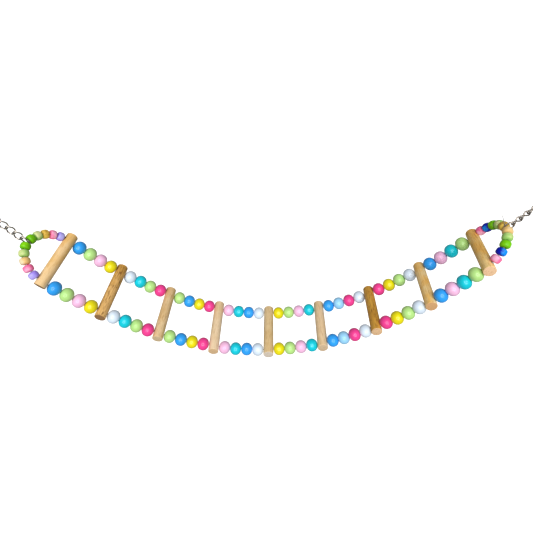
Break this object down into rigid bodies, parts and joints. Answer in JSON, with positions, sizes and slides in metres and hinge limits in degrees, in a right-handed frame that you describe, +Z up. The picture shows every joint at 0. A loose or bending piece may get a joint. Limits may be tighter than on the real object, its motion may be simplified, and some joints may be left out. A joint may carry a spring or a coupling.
{
  "type": "bird ladder",
  "caption": "Hanging bird ladder: wooden rungs between rails of painted beads on bendable wire, with a beaded loop, a twisted-link chain and a snap hook at each end.",
  "frame": {"origin": "seat inside the left hook, at the top of its bow, where it hangs on a wire of the cage", "axes": "+X along the ladder from the left hook to the right hook, +Z up, +Y away from the viewer"},
  "size_m": [0.473, 0.0607, 0.1892],
  "materials": {
    "beech_dowel": "sanded",
    "painted_blue_bead": "glossy paint",
    "painted_light_green_bead": "glossy paint",
    "painted_pink_bead": "glossy paint",
    "painted_yellow_bead": "glossy paint",
    "painted_white_bead": "glossy paint",
    "painted_teal_bead": "glossy paint",
    "painted_hot_pink_bead": "glossy paint",
    "painted_light_blue_bead": "glossy paint",
    "painted_lilac_bead": "glossy paint",
    "painted_rose_bead": "glossy paint",
    "painted_tan_bead": "glossy paint",
    "painted_pale_green_bead": "glossy paint",
    "painted_dark_green_bead": "glossy paint",
    "painted_royal_blue_bead": "glossy paint",
    "painted_bright_green_bead": "glossy paint",
    "nickel_plated_steel": "polished",
    "galvanised_wire": "satin",
    "spring_steel": "satin"
  },
  "bodies": {
    "rung_1": {"rung_1": "beech_dowel"},
    "rung_2": {"rung_2": "beech_dowel"},
    "rung_3": {"rung_3": "beech_dowel"},
    "rung_4": {"rung_4": "beech_dowel"},
    "rung_5": {"rung_5": "beech_dowel"},
    "rung_6": {"rung_6": "beech_dowel"},
    "rung_7": {"rung_7": "beech_dowel"},
    "rung_8": {"rung_8": "beech_dowel"},
    "rung_9": {"rung_9": "beech_dowel"},
    "bay_1": {"near_rail_1": "painted_blue_bead", "far_rail_1": "painted_blue_bead"},
    "bay_2": {"near_rail_2": "painted_teal_bead", "far_rail_2": "painted_teal_bead"},
    "bay_3": {"near_rail_3": "painted_yellow_bead", "far_rail_3": "painted_hot_pink_bead"},
    "bay_4": {"near_rail_4": "painted_white_bead", "far_rail_4": "painted_pink_bead"},
    "bay_5": {"near_rail_5": "painted_yellow_bead", "far_rail_5": "painted_light_green_bead"},
    "bay_6": {"near_rail_6": "painted_light_blue_bead", "far_rail_6": "painted_light_blue_bead"},
    "bay_7": {"near_rail_7": "painted_hot_pink_bead", "far_rail_7": "painted_white_bead"},
    "bay_8": {"near_rail_8": "painted_teal_bead", "far_rail_8": "painted_light_green_bead"},
    "left_loop": {"left_end_loop": "painted_dark_green_bead"},
    "right_loop": {"right_end_loop": "painted_tan_bead"},
    "left_link_1": {"left_chain_link_1": "nickel_plated_steel"},
    "left_link_2": {"left_chain_link_2": "nickel_plated_steel"},
    "left_link_3": {"left_chain_link_3": "nickel_plated_steel"},
    "left_link_4": {"left_chain_link_4": "nickel_plated_steel"},
    "left_link_5": {"left_chain_link_5": "nickel_plated_steel"},
    "left_link_6": {"left_chain_link_6": "nickel_plated_steel"},
    "left_hook": {"left_hook_body": "nickel_plated_steel", "left_hook_rivet": "nickel_plated_steel"},
    "left_gate": {"left_hook_gate": "nickel_plated_steel", "left_hook_spring": "spring_steel"},
    "right_link_1": {"right_chain_link_1": "nickel_plated_steel"},
    "right_link_2": {"right_chain_link_2": "nickel_plated_steel"},
    "right_link_3": {"right_chain_link_3": "nickel_plated_steel"},
    "right_link_4": {"right_chain_link_4": "nickel_plated_steel"},
    "right_link_5": {"right_chain_link_5": "nickel_plated_steel"},
    "right_link_6": {"right_chain_link_6": "nickel_plated_steel"},
    "right_hook": {"right_hook_body": "nickel_plated_steel", "right_hook_rivet": "nickel_plated_steel"},
    "right_gate": {"right_hook_gate": "nickel_plated_steel", "right_hook_spring": "spring_steel"}
  },
  "joints": [
    {"name": "bay_5_bend", "type": "hinge", "parent": "rung_5", "child": "bay_5", "pos_m": [0.23262, 0.00073, -0.18058], "axis": [0, -1, 0], "range_deg": [-9, 9]},
    {"name": "bay_4_bend", "type": "hinge", "parent": "rung_5", "child": "bay_4", "pos_m": [0.23262, 0.00073, -0.18058], "axis": [0, 1, 0], "range_deg": [-9, 9]},
    {"name": "rung_6_rock", "type": "hinge", "parent": "bay_5", "child": "rung_6", "pos_m": [0.28628, 0.00073, -0.17239], "axis": [-0.0154, -0.9986, 0.05], "range_deg": [-9, 9]},
    {"name": "bay_6_bend", "type": "hinge", "parent": "rung_6", "child": "bay_6", "pos_m": [0.28628, 0.00073, -0.17239], "axis": [-0.0154, -0.9986, 0.05], "range_deg": [-9, 9]},
    {"name": "rung_7_rock", "type": "hinge", "parent": "bay_6", "child": "rung_7", "pos_m": [0.33567, 0.00073, -0.14972], "axis": [-0.0548, -0.9945, 0.089], "range_deg": [-9, 9]},
    {"name": "bay_7_bend", "type": "hinge", "parent": "rung_7", "child": "bay_7", "pos_m": [0.33567, 0.00073, -0.14972], "axis": [-0.0548, -0.9945, 0.089], "range_deg": [-9, 9]},
    {"name": "rung_8_rock", "type": "hinge", "parent": "bay_7", "child": "rung_8", "pos_m": [0.37887, 0.00073, -0.11664], "axis": [-0.1061, -0.9877, 0.1149], "range_deg": [-9, 9]},
    {"name": "bay_8_bend", "type": "hinge", "parent": "rung_8", "child": "bay_8", "pos_m": [0.37887, 0.00073, -0.11664], "axis": [-0.1061, -0.9877, 0.1149], "range_deg": [-9, 9]},
    {"name": "rung_9_rock", "type": "hinge", "parent": "bay_8", "child": "rung_9", "pos_m": [0.41598, 0.00073, -0.07681], "axis": [-0.1614, -0.9781, 0.1311], "range_deg": [-9, 9]},
    {"name": "right_loop_bend", "type": "hinge", "parent": "rung_9", "child": "right_loop", "pos_m": [0.41598, 0.00073, -0.07681], "axis": [-0.1614, -0.9781, 0.1311], "range_deg": [-9, 9]},
    {"name": "rung_4_rock", "type": "hinge", "parent": "bay_4", "child": "rung_4", "pos_m": [0.17895, 0.00073, -0.17239], "axis": [0.0154, 0.9986, 0.05], "range_deg": [-9, 9]},
    {"name": "bay_3_bend", "type": "hinge", "parent": "rung_4", "child": "bay_3", "pos_m": [0.17895, 0.00073, -0.17239], "axis": [0.0154, 0.9986, 0.05], "range_deg": [-9, 9]},
    {"name": "rung_3_rock", "type": "hinge", "parent": "bay_3", "child": "rung_3", "pos_m": [0.12956, 0.00073, -0.14972], "axis": [0.0548, 0.9945, 0.089], "range_deg": [-9, 9]},
    {"name": "bay_2_bend", "type": "hinge", "parent": "rung_3", "child": "bay_2", "pos_m": [0.12956, 0.00073, -0.14972], "axis": [0.0548, 0.9945, 0.089], "range_deg": [-9, 9]},
    {"name": "rung_2_rock", "type": "hinge", "parent": "bay_2", "child": "rung_2", "pos_m": [0.08637, 0.00073, -0.11664], "axis": [0.1061, 0.9877, 0.1149], "range_deg": [-9, 9]},
    {"name": "bay_1_bend", "type": "hinge", "parent": "rung_2", "child": "bay_1", "pos_m": [0.08637, 0.00073, -0.11664], "axis": [0.1061, 0.9877, 0.1149], "range_deg": [-9, 9]},
    {"name": "rung_1_rock", "type": "hinge", "parent": "bay_1", "child": "rung_1", "pos_m": [0.04926, 0.00073, -0.07681], "axis": [0.1614, 0.9781, 0.1311], "range_deg": [-9, 9]},
    {"name": "left_loop_bend", "type": "hinge", "parent": "rung_1", "child": "left_loop", "pos_m": [0.04926, 0.00073, -0.07681], "axis": [0.1614, 0.9781, 0.1311], "range_deg": [-9, 9]},
    {"name": "left_link_1_swing", "type": "hinge", "parent": "left_loop", "child": "left_link_1", "pos_m": [0.03423, 0, -0.05478], "axis": [0.1756, 0.9783, 0.1097], "range_deg": [-40, 40]},
    {"name": "left_link_2_swing", "type": "hinge", "parent": "left_link_1", "child": "left_link_2", "pos_m": [0.03073, 0, -0.04919], "axis": [-0.8297, 0.2071, -0.5184], "range_deg": [-30, 30]},
    {"name": "left_link_3_swing", "type": "hinge", "parent": "left_link_2", "child": "left_link_3", "pos_m": [0.02803, 0, -0.04486], "axis": [-0.1756, -0.9783, -0.1097], "range_deg": [-30, 30]},
    {"name": "left_link_4_swing", "type": "hinge", "parent": "left_link_3", "child": "left_link_4", "pos_m": [0.02374, 0, -0.03799], "axis": [0.8297, -0.2071, 0.5184], "range_deg": [-30, 30]},
    {"name": "left_link_5_swing", "type": "hinge", "parent": "left_link_4", "child": "left_link_5", "pos_m": [0.02104, 0, -0.03367], "axis": [0.1756, 0.9783, 0.1097], "range_deg": [-30, 30]},
    {"name": "left_link_6_swing", "type": "hinge", "parent": "left_link_5", "child": "left_link_6", "pos_m": [0.01674, 0, -0.0268], "axis": [-0.8297, 0.2071, -0.5184], "range_deg": [-30, 30]},
    {"name": "left_hook_swing", "type": "hinge", "parent": "left_link_6", "child": "left_hook", "pos_m": [0.01436, 0, -0.02298], "axis": [-0.1756, -0.9783, -0.1097], "range_deg": [-45, 45]},
    {"name": "left_gate_open", "type": "hinge", "parent": "left_hook", "child": "left_gate", "pos_m": [0.01106, 0.00394, -0.01613], "axis": [0.8297, -0.2071, 0.5184], "range_deg": [0, 30], "stiffness_Nm_per_rad": 0.02, "springref_deg": -17.19},
    {"name": "right_link_1_swing", "type": "hinge", "parent": "right_loop", "child": "right_link_1", "pos_m": [0.42937, 0.00135, -0.05375], "axis": [0.168, 0.9776, -0.1266], "range_deg": [-40, 40]},
    {"name": "right_link_2_swing", "type": "hinge", "parent": "right_link_1", "child": "right_link_2", "pos_m": [0.43334, 0.00135, -0.04848], "axis": [-0.7808, 0.2103, 0.5884], "range_deg": [-30, 30]},
    {"name": "right_link_3_swing", "type": "hinge", "parent": "right_link_2", "child": "right_link_3", "pos_m": [0.43641, 0.00135, -0.04441], "axis": [-0.168, -0.9776, 0.1266], "range_deg": [-30, 30]},
    {"name": "right_link_4_swing", "type": "hinge", "parent": "right_link_3", "child": "right_link_4", "pos_m": [0.44129, 0.00135, -0.03794], "axis": [0.7808, -0.2103, -0.5884], "range_deg": [-30, 30]},
    {"name": "right_link_5_swing", "type": "hinge", "parent": "right_link_4", "child": "right_link_5", "pos_m": [0.44436, 0.00135, -0.03387], "axis": [0.168, 0.9776, -0.1266], "range_deg": [-30, 30]},
    {"name": "right_link_6_swing", "type": "hinge", "parent": "right_link_5", "child": "right_link_6", "pos_m": [0.44923, 0.00135, -0.0274], "axis": [-0.7808, 0.2103, 0.5884], "range_deg": [-30, 30]},
    {"name": "right_hook_swing", "type": "hinge", "parent": "right_link_6", "child": "right_hook", "pos_m": [0.45194, 0.00135, -0.0238], "axis": [-0.168, -0.9776, 0.1266], "range_deg": [-45, 45]},
    {"name": "right_gate_open", "type": "hinge", "parent": "right_hook", "child": "right_gate", "pos_m": [0.45717, 0.00529, -0.01828], "axis": [0.7808, -0.2103, -0.5884], "range_deg": [0, 30], "stiffness_Nm_per_rad": 0.02, "springref_deg": -17.19}
  ],
  "couplings": [
    {"joint": "bay_4_bend", "follows": "bay_5_bend", "ratio": 1},
    {"joint": "rung_6_rock", "follows": "bay_6_bend", "ratio": 1},
    {"joint": "rung_7_rock", "follows": "bay_7_bend", "ratio": 1},
    {"joint": "rung_8_rock", "follows": "bay_8_bend", "ratio": 1},
    {"joint": "rung_9_rock", "follows": "right_loop_bend", "ratio": 1},
    {"joint": "rung_4_rock", "follows": "bay_3_bend", "ratio": 1},
    {"joint": "rung_3_rock", "follows": "bay_2_bend", "ratio": 1},
    {"joint": "rung_2_rock", "follows": "bay_1_bend", "ratio": 1},
    {"joint": "rung_1_rock", "follows": "left_loop_bend", "ratio": 1}
  ]
}
